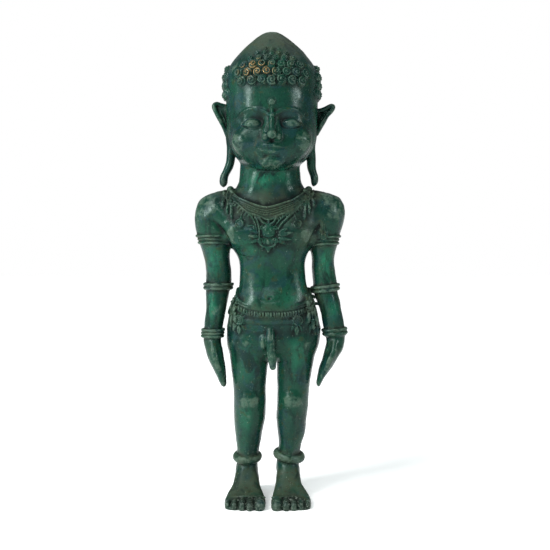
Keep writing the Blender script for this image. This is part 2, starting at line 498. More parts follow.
rod(F, on_skin([(HEAD_X - 13.6, 343.2), (HEAD_X - 7, 342.3), (HEAD_X, 342.7), (HEAD_X + 7, 342.3), (HEAD_X + 13.6, 343.2)], 17, -0.1), 0.55, 0.6, cut=True)
rod(F, on_skin([(HEAD_X - 6, 335.2), (HEAD_X, 334.4), (HEAD_X + 6, 335.2)], 7, 0.8), 1.3, 3.0, cut=True)
lump(F, skin(HEAD_X, 387.2, -0.9), (3.5, 2.7, 3.5), 0.4)


# ---- snail curls: places on the head's own wall
def on_head(angle, z):
    x0, x1, y0, y1 = [float(v) for v in HEAD(np.array(z))]
    c, s, n = math.sin(angle), -math.cos(angle), 2.15
    k = 1 / (abs(c) ** n + abs(s) ** n) ** (1 / n)
    return np.array([(x0 + x1) / 2 + k * c * (x1 - x0) / 2, (y0 + y1) / 2 + k * s * (y1 - y0) / 2, z])


def head_out(angle, z):
    a, b, c = on_head(angle - 0.03, z), on_head(angle + 0.03, z), on_head(angle, z + 1.0)
    m = on_head(angle, z)
    n = np.cross(b - a, c - m)
    n /= np.linalg.norm(n)
    return n if n @ (m - np.array([HEAD_X, 5, z])) > 0 else -n


rng = np.random.RandomState(7)
CURLS = []                                    # middle, outward, size, proud, turn direction
for row, (n, z, pitch, r, proud) in enumerate(((7, 407.8, 9.3, 5.1, 1.0), (8, 415.6, 9.0, 4.9, 0.9), (7, 423.0, 8.8, 4.6, 0.75),
                                               (6, 429.8, 8.0, 4.0, 0.6), (5, 435.6, 6.8, 3.3, 0.4), (3, 440.4, 6.2, 2.7, 0.25))):
    for i in range(n):
        x = (i - (n - 1) / 2) * pitch + rng.uniform(-0.5, 0.5)
        a = math.asin(min(0.95, abs(x) / 47.0)) * (1 if x > 0 else -1)
        for _ in range(6):                    # walk the angle until the curl stands at x
            a -= (on_head(a, z)[0] - HEAD_X - x) / 46.0
        CURLS.append((on_head(a, z + rng.uniform(-0.5, 0.5)), head_out(a, z), r, proud, 1 if (i + row) % 2 else -1))
for row, (z, start, r) in enumerate(((401.0, 1.20, 5.0), (409.4, 1.22, 5.1), (417.8, 1.27, 5.0), (426.0, 1.38, 4.7),
                                     (392.6, 2.02, 5.0), (384.2, 2.04, 5.0), (375.8, 2.06, 5.0), (367.4, 2.09, 4.9),
                                     (359.2, 2.14, 4.7), (351.6, 2.22, 4.4))):
    wide = 2 * (math.pi - start)
    n = int(round(wide * 50 / 9.1))
    for i in range(n + 1):
        a = start + wide * (i + (0.5 if row % 2 else 0)) / (n + (1 if row % 2 else 0))
        if a > 2 * math.pi - start + 1e-6:
            continue
        zz = z + rng.uniform(-0.4, 0.4)
        CURLS.append((on_head(a, zz), head_out(a, zz), r, 0.9 if z > 355 else 0.6, 1 if (i + row) % 2 else -1))
for c, out, r, proud, _ in CURLS:
    lump(F, c + out * ((proud - 1.0) * 0.55 - 0.12) * r, (r * 1.02, r * 1.02, r * 1.02), 0.35 if r > 3.5 else 0.8)
rod(F, on_skin([(5.6, 405), (5.0, 416), (6.2, 427)], 8, 0.4), 1.0, 0.8, cut=True)
lump(F, skin(-8.6, 424.6), (2.0, 2.2, 1.8), 0.6, cut=True)

# ---- belt cords, hip folds and the small form between the thighs
def belt_z(x, y):
    """Height of the belt at a place round the hips: low in front, high at the sides."""
    a = np.arctan2(x - 2, -(y + 3.5) * 1.55)
    f = np.cos(a)
    return np.where(f > 0, 189.3 + 17 * np.power(np.clip(1 - f, 0, 1), 1.3), 206.3 - 3.0 * -f)


def belt(x, y, z):
    d = radial(TORSO, x, y, np.clip(z, 150, 240), 2.3)
    zb = belt_z(x, y).astype(np.float32)
    upper = np.sqrt((d - 0.7) ** 2 + (z - zb - 1.5) ** 2) - 1.55
    lower = np.sqrt((d - 0.5) ** 2 + (z - zb + 1.6) ** 2) - 1.35
    return np.minimum(upper, lower).astype(np.float32)


F.join((-46, -40, 182), (50, 34, 214), belt, 0.5)
# gathered folds on the hips, and the small bridges that tie the left hip to the left forearm
for i, (x0, x1, x2, z0, z1) in enumerate(((-32.5, -35.0, -34.5, 199, 178), (-35.2, -38.6, -39.2, 201, 172), (-36.0, -40.6, -42.2, 197, 184))):
    rod(F, on_skin([(x0, z0), (x1, (z0 + z1) / 2), (x2, z1)], 8, 0.2), np.linspace(1.2, 1.9, 8), 0.8)
for i, (x0, x1, x2, z0, z1) in enumerate(((34.5, 36.2, 35.8, 202, 176), (37.0, 39.6, 40.4, 203, 170), (38.6, 42.4, 44.6, 201, 178), (39.2, 43.8, 46.2, 196, 165))):
    rod(F, on_skin([(x0, z0), (x1, (z0 + z1) / 2), (x2, z1)], 9, 0.2), np.linspace(1.2, 2.0, 9), 0.8)
rod(F, [(36, -3, 205.8), (40, -2, 207.0), (46, 0, 207.5)], (2.6, 2.2, 2.4), 1.0)
rod(F, [(39, -4, 199.2), (42, -3, 199.6), (46, -2, 199.6)], (1.7, 1.2, 1.6), 0.6)
rod(F, [(42, -4, 193.0), (46, -3, 193.0), (50, -2, 192.4)], (1.7, 1.4, 1.6), 0.6)
rod(F, smooth_path([(-0.6, -23.5, 170), (-0.2, -27.2, 160), (0.6, -28.4, 148), (1.6, -28.6, 140), (1.9, -28.0, 133.6)], 12),
    np.interp(np.linspace(0, 1, 12), [0, 0.3, 0.7, 1], [4.0, 4.7, 4.4, 3.2]), 1.0)
lump(F, (-7.0, -21.8, 157), (5.2, 5.8, 9.2), 1.2)
lump(F, (6.0, -20.8, 160), (3.6, 4.6, 7.6), 1.5)
# a leaf-shaped crest that stands on the left armlet
lump(F, (51.2, -17.2, 262.5), (5.2, 3.0, 7.0), 0.8)
lump(F, (51.4, -18.4, 272.0), (3.2, 2.4, 7.6), 1.2)
# knots where the collar meets the shoulders
for x in (-40.4, 37.6):
    lump(F, (x, -3.5, 306.5), (3.6, 5.0, 3.4), 1.4)
    lump(F, (x * 0.93, -9.5, 303.0), (3.0, 4.0, 3.0), 1.4)

# flat soles
F.d = np.maximum(F.d, -(F.lo[2] + F.h * np.arange(F.n[2], dtype=np.float32))[None, None, :])


# ------------------------------------------------------------------ the surface through the field
def surface(field):
    """A vertex in each cell that the surface crosses, and a quad across each grid edge it crosses."""
    d, h = field.d, field.h
    s = d < 0
    count = np.zeros(tuple(field.n - 1), np.uint8)
    for dx in (0, 1):
        for dy in (0, 1):
            for dz in (0, 1):
                count += s[dx:dx + count.shape[0], dy:dy + count.shape[1], dz:dz + count.shape[2]]
    cells = np.flatnonzero((count > 0) & (count < 8))
    shape = count.shape
    i, j, k = np.unravel_index(cells, shape)
    total, hits = np.zeros((len(cells), 3)), np.zeros(len(cells))
    corner = {(a, b, c): d[i + a, j + b, k + c].astype(float) for a in (0, 1) for b in (0, 1) for c in (0, 1)}
    for axis in range(3):
        for b in (0, 1):
            for c in (0, 1):
                p = [b, c]
                p.insert(axis, 0)
                q = list(p)
                q[axis] = 1
                u, v = corner[tuple(p)], corner[tuple(q)]
                on = (u < 0) != (v < 0)
                t = np.where(on, u / np.where(on, u - v, 1), 0)
                w = np.stack([np.full(len(u), float(m)) for m in p], 1)
                w[:, axis] = t
                total += np.where(on[:, None], w, 0)
                hits += on
    pts = field.lo + h * (np.stack([i, j, k], 1) + total / hits[:, None])
    quads = []
    for axis in range(3):
        lo, hi = [slice(None)] * 3, [slice(None)] * 3
        lo[axis], hi[axis] = slice(None, -1), slice(1, None)
        a, b = s[tuple(lo)], s[tuple(hi)]
        e = np.array(np.nonzero(a != b))
        o1, o2 = [m for m in range(3) if m != axis]
        keep = (e[o1] > 0) & (e[o2] > 0) & (e[o1] < shape[o1]) & (e[o2] < shape[o2])
        e = e[:, keep]
        inside = a[e[0], e[1], e[2]]
        quad = []
        for m1, m2 in ((-1, -1), (0, -1), (0, 0), (-1, 0)):
            c = e.copy()
            c[o1] += m1
            c[o2] += m2
            quad.append(np.ravel_multi_index(c, shape))
        quad = np.stack(quad, 1)
        flip = inside if axis == 1 else ~inside
        quad[flip] = quad[flip][:, ::-1]
        quads.append(quad)
    q = np.searchsorted(cells, np.vstack(quads))
    return pts, q


def largest(points, quads):
    """Only the largest connected piece."""
    label = np.arange(len(points))
    e = np.vstack([quads[:, [0, 1]], quads[:, [1, 2]], quads[:, [2, 3]], quads[:, [3, 0]]])
    while True:
        new = label.copy()
        np.minimum.at(new, e[:, 0], label[e[:, 1]])
        np.minimum.at(new, e[:, 1], label[e[:, 0]])
        new = new[new]
        if (new == label).all():
            break
        label = new
    best = np.bincount(label).argmax()
    keep = label == best
    to = np.cumsum(keep) - 1
    return points[keep], to[quads[keep[quads[:, 0]]]]


P, Q = surface(F)
P, Q = largest(P, Q)
for _ in range(2):
    g = F.slope(P)
    P = P - np.clip(F.at(P) / np.maximum((g * g).sum(1), 0.2), -F.h, F.h)[:, None] * g
P[:, 2] = np.maximum(P[:, 2], 0)
N = F.slope(P, 0.9)
N /= np.maximum(np.linalg.norm(N, axis=1), 1e-9)[:, None]


# ------------------------------------------------------------------ relief raised and cut on the surface
RISE = np.zeros(len(P))


class Patch:
    """Some of the surface's points with flat coordinates of their own. Raised shapes lie over each other."""
    def __init__(self, mask, u, v):
        self.i = np.flatnonzero(mask)
        self.u, self.v = u[self.i], v[self.i]
        self.up = np.zeros(len(self.i))
        self.down = np.zeros(len(self.i))

    def near(self, pts):
        """Distance to a line of points, and how far along it."""
        pts = np.array(pts, float)
        best, along, run = np.full(len(self.u), 1e9), np.zeros(len(self.u)), 0.0
        for a, b in zip(pts[:-1], pts[1:]):
            ab = b - a
            L = math.hypot(*ab)
            if L < 1e-9:
                continue
            t = np.clip(((self.u - a[0]) * ab[0] + (self.v - a[1]) * ab[1]) / (L * L), 0, 1)
            d = np.hypot(self.u - a[0] - t * ab[0], self.v - a[1] - t * ab[1])
            m = d < best
            best[m], along[m] = d[m], run + t[m] * L
            run += L
        return best, along, run

    def raise_(self, h):
        self.up = np.maximum(self.up, h)

    def cord(self, pts, wide, high, n=24, taper=False, over=0.0):
        d, s, run = self.near(smooth_path(pts, n) if len(pts) > 2 else pts)
        w = wide * (np.clip(1 - s / run, 0, 1) ** 0.6 * 0.75 + 0.25) if taper else wide
        m = np.clip(1 - (d / w) ** 2, 0, 1)
        self.raise_(np.where(m > 0, over + high * np.sqrt(m), 0))

    def groove(self, pts, wide, deep, n=24):
        d, _, _ = self.near(smooth_path(pts, n) if len(pts) > 2 else pts)
        self.down = np.maximum(self.down, deep * np.exp(-(d / wide) ** 2))

    def beads(self, pts, pitch, r, high, over=0.0, n=24):
        d, s, run = self.near(smooth_path(pts, n) if len(pts) > 2 else pts)
        k = max(1, round(run / pitch))
        step = run / k
        ds = (s % step) - step / 2
        m = np.clip(1 - (d * d + ds * ds) / (r * r), 0, 1)
        self.raise_(np.where(m > 0, over + high * np.sqrt(m), 0))

    def dome(self, c, rx, ry, high, turn=0.0, over=0.0, power=0.5):
        a = math.radians(turn)
        p, q = self.u - c[0], self.v - c[1]
        p, q = p * math.cos(a) + q * math.sin(a), -p * math.sin(a) + q * math.cos(a)
        m = np.clip(1 - (p / rx) ** 2 - (q / ry) ** 2, 0, 1)
        self.raise_(np.where(m > 0, over + high * m ** power, 0))

    def ring(self, c, r, wide, high, over=0.0):
        d = np.abs(np.hypot(self.u - c[0], self.v - c[1]) - r)
        m = np.clip(1 - (d / wide) ** 2, 0, 1)
        self.raise_(np.where(m > 0, over + high * np.sqrt(m), 0))

    def leaf(self, root, turn, long, wide, high, rib=0.35, over=0.0):
        """A pointed leaf from its root, with a sunk rib down its middle."""
        a = math.radians(turn)
        p, q = self.u - root[0], self.v - root[1]
        p, q = p * math.cos(a) + q * math.sin(a), -p * math.sin(a) + q * math.cos(a)
        t = np.clip(p / long, 0, 1)
        half = wide / 2 * np.sin(math.pi * t ** 0.72) ** 0.85 + 1e-3
        m = np.clip(1 - (q / half) ** 2, 0, 1) * ((p > 0) & (p < long))
        self.raise_(np.where(m > 0, over + high * np.sqrt(m) - rib * np.exp(-(q / 0.35) ** 2), 0))

    def scroll(self, c, r, start, turns, wide, high, side=1, over=0.0):
        """A spiral that winds in from radius r."""
        a = np.linspace(0, 1, int(18 * turns) + 2)
        th = math.radians(start) + side * a * turns * 2 * math.pi
        rr = r * (1 - a) ** 0.8 + 0.25
        self.cord(np.stack([c[0] + rr * np.cos(th), c[1] + rr * np.sin(th)], 1), wide, high, n=len(a), over=over)

    def done(self):
        RISE[self.i] += self.up - self.down


X, Y, Z = P[:, 0], P[:, 1], P[:, 2]
tx0, tx1, ty0, ty1 = TORSO(np.clip(Z, 136, 308))
on_trunk = (X > tx0 - 3) & (X < tx1 + 3) & (N[:, 1] < 0.35) & (Y < 8)

# ---- collar and pendant, on the front of the chest
chest = Patch(on_trunk & (Z > 240) & (Z < 313) & (np.abs(X) < 56), X, Z)
TOP = [(-41.5, 307.5), (-37, 301.6), (-30.9, 296.4), (-19.6, 291.4), (-10.9, 288.4), (-3.5, 287.4), (3.9, 288.8), (11.7, 291.2),
       (21.3, 294.8), (30, 300.6), (35.5, 306.5)]
LOW = [(-36, 296.5), (-27.8, 287.2), (-19.6, 281.6), (-11, 279.2), (-6.5, 276.6), (-2, 275.4), (2.4, 276.6), (7, 279.8), (18, 283.2),
       (27, 288.6), (33.5, 296)]


def down(path, h, squeeze=0.0):
    """The same line lower down, closing up towards its ends."""
    c = max(abs(path[0][0]), abs(path[-1][0]))
    return [(x, z - h * (1 - squeeze * (abs(x + 2) / c) ** 2)) for x, z in path]


band_top = np.interp(chest.u, *np.array(smooth_path(TOP, 80)).T)
band_low = np.interp(chest.u, *np.array(smooth_path(LOW, 80)).T)
inside = (chest.v < band_top) & (chest.v > band_low) & (chest.u > -42) & (chest.u < 36.5)
edge = np.minimum(band_top - chest.v, chest.v - band_low)
chest.raise_(np.where(inside, 1.1 * np.clip(edge / 0.8, 0, 1) ** 0.5, 0))
chest.cord(TOP, 1.1, 1.2, n=50, over=0.9)
L2, L3, L4, L5 = [down(TOP[1:-1], h, 0.35) for h in (2.9, 4.9, 7.3, 9.6)]
chest.groove(down(TOP[1:-1], 1.7, 0.2), 0.4, 0.8, n=50)
chest.cord(L2, 0.6, 0.6, n=50, over=1.0)
chest.groove(down(TOP[1:-1], 3.9, 0.35), 0.4, 0.8, n=50)
chest.beads(L3, 1.9, 0.72, 0.75, over=1.0, n=50)
chest.groove(down(TOP[1:-1], 6.1, 0.35), 0.4, 0.8, n=50)
chest.cord(L4, 0.55, 0.55, n=50, over=1.0)
chest.groove(down(TOP[2:-2], 8.4, 0.35), 0.35, 0.6, n=50)
chest.beads([(-14, 283.4), (-8, 281.2), (-2, 280.8), (4, 281.6), (10, 283.6)], 2.2, 0.75, 0.8, over=1.0)
chest.cord(LOW, 0.95, 1.1, n=50, over=0.9)
# small leaves that hang from the lower cord
pts = smooth_path(LOW, 80)
run = np.concatenate([[0], np.cumsum(np.hypot(*np.diff(pts, axis=0).T))])
for k, q in enumerate(np.arange(3.0, run[-1] - 2.5, 3.1)):
    x, z = np.interp(q, run, pts[:, 0]), np.interp(q, run, pts[:, 1])
    x2, z2 = np.interp(q + 0.5, run, pts[:, 0]), np.interp(q + 0.5, run, pts[:, 1])
    if abs(x + 2) < 7:
        continue
    t = math.degrees(math.atan2(z2 - z, x2 - x)) - 90
    chest.leaf((x, z), t, 4.0 + 0.8 * (k % 2), 2.7, 1.3, rib=0.35)
# sweeping straps and tendrils on each side of the pendant
chest.cord([(-28.5, 286.4), (-24.2, 283.8), (-20.0, 280.2), (-16.8, 275.8), (-14.4, 269.8), (-13.2, 264)], 1.0, 1.7, taper=True)
chest.cord([(-20.6, 281.2), (-14.6, 280.6), (-11.0, 277.6), (-8.0, 274.2), (-4.8, 272.0)], 0.95, 1.5)
chest.cord([(-13.8, 276.8), (-12.0, 270.8), (-11.2, 264), (-11.2, 258.4), (-12.4, 254.6)], 1.15, 1.6)
chest.cord([(-21.4, 269.4), (-17.6, 270.0), (-14.6, 267.6), (-13.4, 264.6)], 0.8, 1.3, taper=True)
chest.scroll((-18.0, 266.0), 2.3, 60, 1.1, 0.65, 1.1, side=-1)
chest.cord([(26.5, 287.0), (21.5, 282.6), (16.0, 277.8), (10.4, 271.8), (7.2, 266.8)], 1.1, 1.8)
chest.groove([(27.6, 285.2), (22.6, 280.8), (17.2, 275.8), (11.6, 270.0)], 0.55, 0.8)
chest.cord([(20.4, 283.4), (14.2, 279.6), (9.0, 275.6), (5.2, 271.2)], 0.85, 1.4)
chest.scroll((16.8, 283.0), 1.9, 200, 1.1, 0.6, 1.0, side=1, over=0.6)
chest.leaf((7.8, 262.6), 30, 10.5, 4.2, 1.6)
chest.leaf((7.2, 260.2), 14, 15.0, 4.4, 1.7)
chest.leaf((7.0, 257.6), -4, 14.0, 4.2, 1.6)
chest.leaf((6.4, 255.6), -24, 9.0, 3.6, 1.4)
chest.leaf((-12.4, 262.8), 152, 8.5, 3.6, 1.4)
chest.leaf((-11.8, 259.4), 176, 10.0, 4.0, 1.5)
chest.leaf((-11.4, 256.6), 202, 9.0, 3.6, 1.4)
# pendant: a horned boss with dots, flanked by curls, over a crescent with a scroll at each end
chest.dome((-2.2, 264.6), 6.6, 7.0, 2.3, power=0.4)
chest.cord([(-10.2, 276.0), (-7.4, 272.6), (-4.8, 271.6), (-2.2, 269.4), (0.2, 271.8), (2.6, 273.2), (5.6, 277.4)], 1.0, 1.4, over=1.2)
chest.cord([(-2.2, 270.6), (-2.2, 274.8)], 1.0, 1.2, over=1.0)
chest.dome((-4.8, 265.6), 1.35, 1.35, 1.1, over=2.0)
chest.dome((0.2, 265.6), 1.35, 1.35, 1.1, over=2.0)
chest.ring((-4.8, 265.6), 2.1, 0.45, 0.4, over=1.9)
chest.ring((0.2, 265.6), 2.1, 0.45, 0.4, over=1.9)
chest.dome((-2.3, 262.6), 1.7, 1.5, 1.0, over=2.0)
chest.cord([(-6.2, 260.6), (-2.3, 259.4), (1.6, 260.6)], 0.7, 0.7, over=1.6)
chest.groove([(-5.4, 259.4), (-2.3, 258.4), (0.8, 259.4)], 0.45, 0.8)
chest.scroll((-8.4, 267.4), 1.9, 30, 1.0, 0.6, 1.0, side=1, over=0.8)
chest.scroll((4.4, 267.4), 1.9, 150, 1.0, 0.6, 1.0, side=-1, over=0.8)
chest.dome((-2.6, 254.4), 8.6, 5.4, 1.3, power=0.4)
chest.cord([(-11.4, 256.6), (-10.4, 252.8), (-7.4, 250.4), (-2.8, 249.2), (1.8, 250.2), (4.2, 252.6), (5.2, 256.4)], 1.15, 1.4, over=0.8)
chest.scroll((-9.4, 255.4), 2.5, 210, 1.3, 0.65, 1.1, side=-1, over=1.0)
chest.scroll((4.0, 255.6), 2.5, -30, 1.3, 0.65, 1.1, side=1, over=1.0)
chest.dome((-2.6, 254.2), 1.7, 2.4, 1.2, over=1.3)
chest.leaf((-5.6, 256.6), -100, 5.0, 2.4, 1.2, over=0.9)
chest.leaf((0.6, 256.6), -80, 5.0, 2.4, 1.2, over=0.9)
chest.leaf((-2.7, 250.0), -90, 6.4, 4.2, 1.7, over=0.2)
for dx, t in ((-6.6, -122), (-4.6, -104), (-0.8, -78), (1.4, -60)):
    chest.leaf((dx, 250.8), t, 4.4, 2.3, 1.3)
# rosettes with a stem, and the nipples
for x, z, lean in ((-30.2, 271.9, 0.5), (25.5, 271.6, -0.6)):
    chest.dome((x, z), 3.9, 3.9, 0.9, power=0.3)
    chest.ring((x, z), 3.5, 0.75, 1.0, over=0.7)
    chest.ring((x, z), 1.7, 0.55, 0.6, over=0.7)
    chest.dome((x, z), 0.9, 0.9, 0.9, over=0.7)
    chest.cord([(x + lean, z + 3.6), (x + lean * 2.5, z + 6.0), (x + lean * 4.5, z + 9.5)], 0.75, 1.1)
    chest.cord([(x + lean - 1.2, z + 5.2), (x + lean + 1.6, z + 5.4)], 0.6, 0.9)
for x, z in ((-30.0, 258.2), (23.6, 256.8)):
    chest.ring((x, z), 2.7, 0.8, 0.25)
    chest.dome((x, z), 1.7, 1.5, 1.3)
# knotted strands that hang over the front of the shoulders
for x, side in ((-42.4, -1), (37.2, 1)):
    for k, (dx, z0, z1) in enumerate(((-3.6 * -side, 306, 293), (0, 303, 286), (3.4 * -side, 299, 281))):
        chest.cord([(x + dx, z0), (x + dx + side * 1.0, (z0 * 2 + z1) / 3), (x + dx - side * 0.8, (z0 + 2 * z1) / 3), (x + dx * 1.3 + side * 0.4, z1)],
                   1.15, 1.9, over=0.1)
        chest.beads([(x + dx, z0), (x + dx - side * 0.8, (z0 + 2 * z1) / 3), (x + dx * 1.3, z1)], 3.2, 1.5, 0.9, over=0.9)
        chest.leaf((x + dx * 1.3 + side * 0.4, z1 + 1), -90 - side * 8, 6.4, 3.0, 1.7)
    chest.scroll((x - side * 6.6, 291.0), 2.4, 90, 1.1, 0.75, 1.4, side=side, over=0.3)
    chest.scroll((x + side * 3.8, 296.0), 1.9, 20, 1.0, 0.7, 1.3, side=-side, over=0.3)
chest.done()

# ---- belt: fringe of lozenges, cloth roll, rosettes and their drops
hips = Patch(on_trunk & (Z > 150) & (Z < 214) & (np.abs(X - 1) < 47), X, Z - belt_z(X, Y))
ir = np.random.RandomState(3)
for i in range(-16, 17):
    x = 0.5 + i * 2.62 + ir.uniform(-0.25, 0.25)
    long = 5.6 + ir.uniform(-0.5, 0.6)
    lean = ir.uniform(-7, 7)
    hips.leaf((x, -3.0), -90 + lean, long, 2.3, 1.7, rib=0.5)
    if i % 2:
        hips.dome((x, -3.9), 0.85, 0.85, 0.7, over=1.2)
    hips.dome((x + 1.3, -7.6 + ir.uniform(-0.4, 0.4)), 0.75, 1.1, 0.9)
hips.groove([(-44, -2.6), (46, -2.6)], 0.45, 0.5)
hips.done()
lap = Patch(on_trunk & (Z > 150) & (Z < 200) & (np.abs(X - 1) < 47), X, Z)
lap.cord([(-27, 177.2), (-16, 176.6), (-4, 176.0), (10, 176.6), (21, 177.2)], 2.3, 0.5)
lap.groove([(-24, 174.2), (-14, 173.4), (-4, 173.0), (10, 173.4), (18, 174.0)], 0.9, 0.4)
lap.cord([(-27, 170.6), (-17, 168.4), (-9, 168.0)], 1.6, 0.45)
for x, z, r in ((-30.3, 178.2, 4.8), (25.5, 178.2, 5.1)):
    lap.dome((x, z), r, r, 1.9, power=0.3)
    lap.ring((x, z), r * 0.84, 0.8, 0.9, over=1.5)
    lap.ring((x, z), r * 0.45, 0.6, 0.7, over=1.5)
    lap.dome((x, z), 1.1, 1.1, 1.0, over=1.5)
    for k in range(10):
        a = k * math.pi / 5
        lap.dome((x + (r + 0.4) * math.cos(a), z + (r + 0.4) * math.sin(a)), 1.2, 1.2, 1.2)
    lap.cord([(x - 0.4, z - r), (x - 0.6, z - 8.0)], 1.0, 1.4)
    lap.leaf((x - 0.6, z - 5.6), -90, 9.4, 5.2, 1.9)
    lap.leaf((x - 3.2, z - 4.6), -114, 6.8, 2.8, 1.4)
    lap.leaf((x + 2.2, z - 4.6), -66, 6.8, 2.8, 1.4)
for x, z, t, n in ((-33.4, 196, -104, 11), (-36.4, 192, -98, 13), (-34.6, 186, -92, 12), (-38.2, 183, -94, 12), (-36.6, 175, -86, 9),
                   (35.6, 197, -78, 11), (38.4, 193, -80, 13), (41.8, 190, -82, 12), (37.2, 186, -92, 11), (41.0, 180, -88, 12),
                   (44.2, 182, -84, 12), (38.6, 175, -94, 10), (43.4, 171, -90, 9)):
    lap.leaf((x, z), t, n, 3.4, 1.5, rib=0.45)
for x, z in ((38.8, 177.4), (42.8, 170.6), (41.6, 186.0), (-38.0, 186.8), (-33.0, 190.2)):
    lap.dome((x, z), 1.1, 1.1, 1.1, over=0.8)
lap.done()

# ---- the back keeps a plain collar edge and a row of beads under the belt
back = Patch((Y > 4) & (N[:, 1] > 0) & (Z > 296) & (Z < 309) & (np.abs(X) < 44), X, Z)
back.cord([(-42, 306.5), (-25, 302.5), (0, 300.5), (23, 302.5), (38, 306.5)], 1.3, 1.0)
back.beads([(-40, 303.2), (-25, 299.6), (0, 297.6), (23, 299.6), (37, 303.2)], 3.0, 1.1, 0.8)
back.done()
hem = Patch((Y > 4) & (N[:, 1] > 0) & (Z > 190) & (Z < 210) & (X > tx0 - 3) & (X < tx1 + 3), X, Z - belt_z(X, Y))
hem.beads([(-44, -4.8), (46, -4.8)], 3.4, 1.3, 0.9)
hem.done()

# ---- a snail's turn cut in each curl
for c, out, r, proud, way in CURLS:
    m = np.flatnonzero((np.abs(X - c[0]) < r + 1) & (np.abs(Y - c[1]) < r + 1) & (np.abs(Z - c[2]) < r + 1))
    if not len(m):
        continue
    rel = P[m] - c
    e1 = np.cross((0, 0, 1), out)
    e1 /= np.linalg.norm(e1)
    e2 = np.cross(out, e1)
    u, v, w = rel @ e1, rel @ e2, rel @ out
    rho, th = np.hypot(u, v), np.arctan2(v, u)
    pitch = 0.52 * r
    wave = np.cos(2 * math.pi * (rho / pitch - way * th / (2 * math.pi)))
    fade = np.clip((r * 1.0 - rho) / (0.2 * r), 0, 1) * np.clip(w / (0.25 * r), 0, 1)
    deep = 0.72 if out[1] < -0.55 else 0.4
    RISE[m] += deep * (wave - 0.5) * fade * min(1, r / 4.6) + 0.95 * deep * np.exp(-(rho / (0.16 * r)) ** 2) * fade

# ---- ring round the forehead boss; lines on the hands; crest on the armlet
mark = Patch((Y < -38) & (Z > 376) & (Z < 396) & (np.abs(X - HEAD_X) < 10), X, Z)
mark.groove([(HEAD_X + 4.1 * math.cos(a), 387.2 + 4.1 * math.sin(a)) for a in np.linspace(0, 2 * math.pi, 25)], 0.5, 0.35, n=25)
mark.done()
crest = Patch((Y < -10) & (X > 42) & (X < 60) & (Z > 250) & (Z < 283), X, Z)
crest.groove([(51.3, 259), (51.5, 276)], 0.45, 0.7)
for s in (-1, 1):
    crest.groove([(51.3 + s * 3.4, 258), (51.4 + s * 2.4, 267), (51.5 + s * 0.6, 277)], 0.45, 0.6)
crest.ring((51.2, 259.5), 2.6, 0.7, 0.6)
crest.dome((51.2, 259.5), 1.3, 1.3, 0.8)
crest.done()


def uneven(p, wave, n, seed):
    """A smooth uneven field, about -1 to 1, from a sum of waves in all directions."""
    r = np.random.RandomState(seed)
    out = np.zeros(len(p))
    for _ in range(n):
        k = r.normal(size=3)
        k *= (2 * math.pi / wave) * r.uniform(0.6, 1.5) / np.linalg.norm(k)
        out += np.sin(p @ k + r.uniform(0, 2 * math.pi))
    return out / math.sqrt(n)


RISE += 0.16 * uneven(P, 26, 14, 1) + 0.07 * uneven(P, 9, 16, 2) + 0.03 * uneven(P, 3.4, 18, 3)
RISE *= np.clip(Z / 2.5, 0, 1)
P = P + N * RISE[:, None]
P[:, 2] = np.maximum(P[:, 2], 0)


# ------------------------------------------------------------------ to a Blender mesh
def mesh_from(name, pts, quads):
    me = bpy.data.meshes.new(name)
    me.vertices.add(len(pts))
    me.vertices.foreach_set("co", (pts * MM).astype(np.float32).ravel())
    me.loops.add(quads.size)
    me.loops.foreach_set("vertex_index", quads.astype(np.int32).ravel())
    me.polygons.add(len(quads))
    me.polygons.foreach_set("loop_start", np.arange(0, quads.size, 4, dtype=np.int32))
    me.polygons.foreach_set("loop_total", np.full(len(quads), 4, np.int32))
    me.update(calc_edges=True)
    me.validate()
    return me


me = mesh_from("ancestor_figure", P, Q)
figure = bpy.data.objects.new("ancestor_figure", me)
bpy.context.scene.collection.objects.link(figure)
tris = 2 * len(Q)
if tris > MOST_TRIANGLES:
    mod = figure.modifiers.new("thin", "DECIMATE")
    mod.ratio = MOST_TRIANGLES / tris
    bpy.context.view_layer.update()
    final = bpy.data.meshes.new_from_object(figure.evaluated_get(bpy.context.evaluated_depsgraph_get()))
    figure.modifiers.clear()
    figure.data = final
    bpy.data.meshes.remove(me)
    me = final
    me.name = "ancestor_figure"
me.polygons.foreach_set("use_smooth", np.ones(len(me.polygons), bool))
print("field", F.n, "surface", len(P), "triangles", tris, "->", len(me.polygons))

# ------------------------------------------------------------------ how deep or high each point lies
nv = len(me.vertices)
co = np.empty(nv * 3, np.float32)
me.vertices.foreach_get("co", co)
co = co.reshape(-1, 3).astype(float) / MM
no = np.empty(nv * 3, np.float32)
me.vertices.foreach_get("normal", no)
no = no.reshape(-1, 3).astype(float)
ed = np.empty(len(me.edges) * 2, np.int32)
me.edges.foreach_get("vertices", ed)
ed = ed.reshape(-1, 2)
deg = np.maximum(np.bincount(ed.ravel(), minlength=nv), 1)


def spread(a):
    """The mean over each point's neighbours."""
    out = np.bincount(ed[:, 0], a[ed[:, 1]], nv) + np.bincount(ed[:, 1], a[ed[:, 0]], nv)
    return out / deg


def eased(pts, rounds):
    q = [pts[:, k].copy() for k in range(3)]
    for _ in range(rounds):
        q = [0.4 * a + 0.6 * spread(a) for a in q]
    return np.stack(q, 1)


near, far = eased(co, 5), eased(co, 40)
fine = ((near - co) * no).sum(1)              # over 0 in a dent, under 0 on a ridge
broad = ((far - co) * no).sum(1)
for _ in range(2):
    fine = 0.5 * fine + 0.5 * spread(fine)
    broad = 0.5 * broad + 0.5 * spread(broad)
dent = np.clip(fine / 0.30, 0, 1) * 0.8 + np.clip(broad / 1.6, 0, 1) * 0.25
ridge = np.clip((-fine - 0.16) / 0.2, 0, 1)


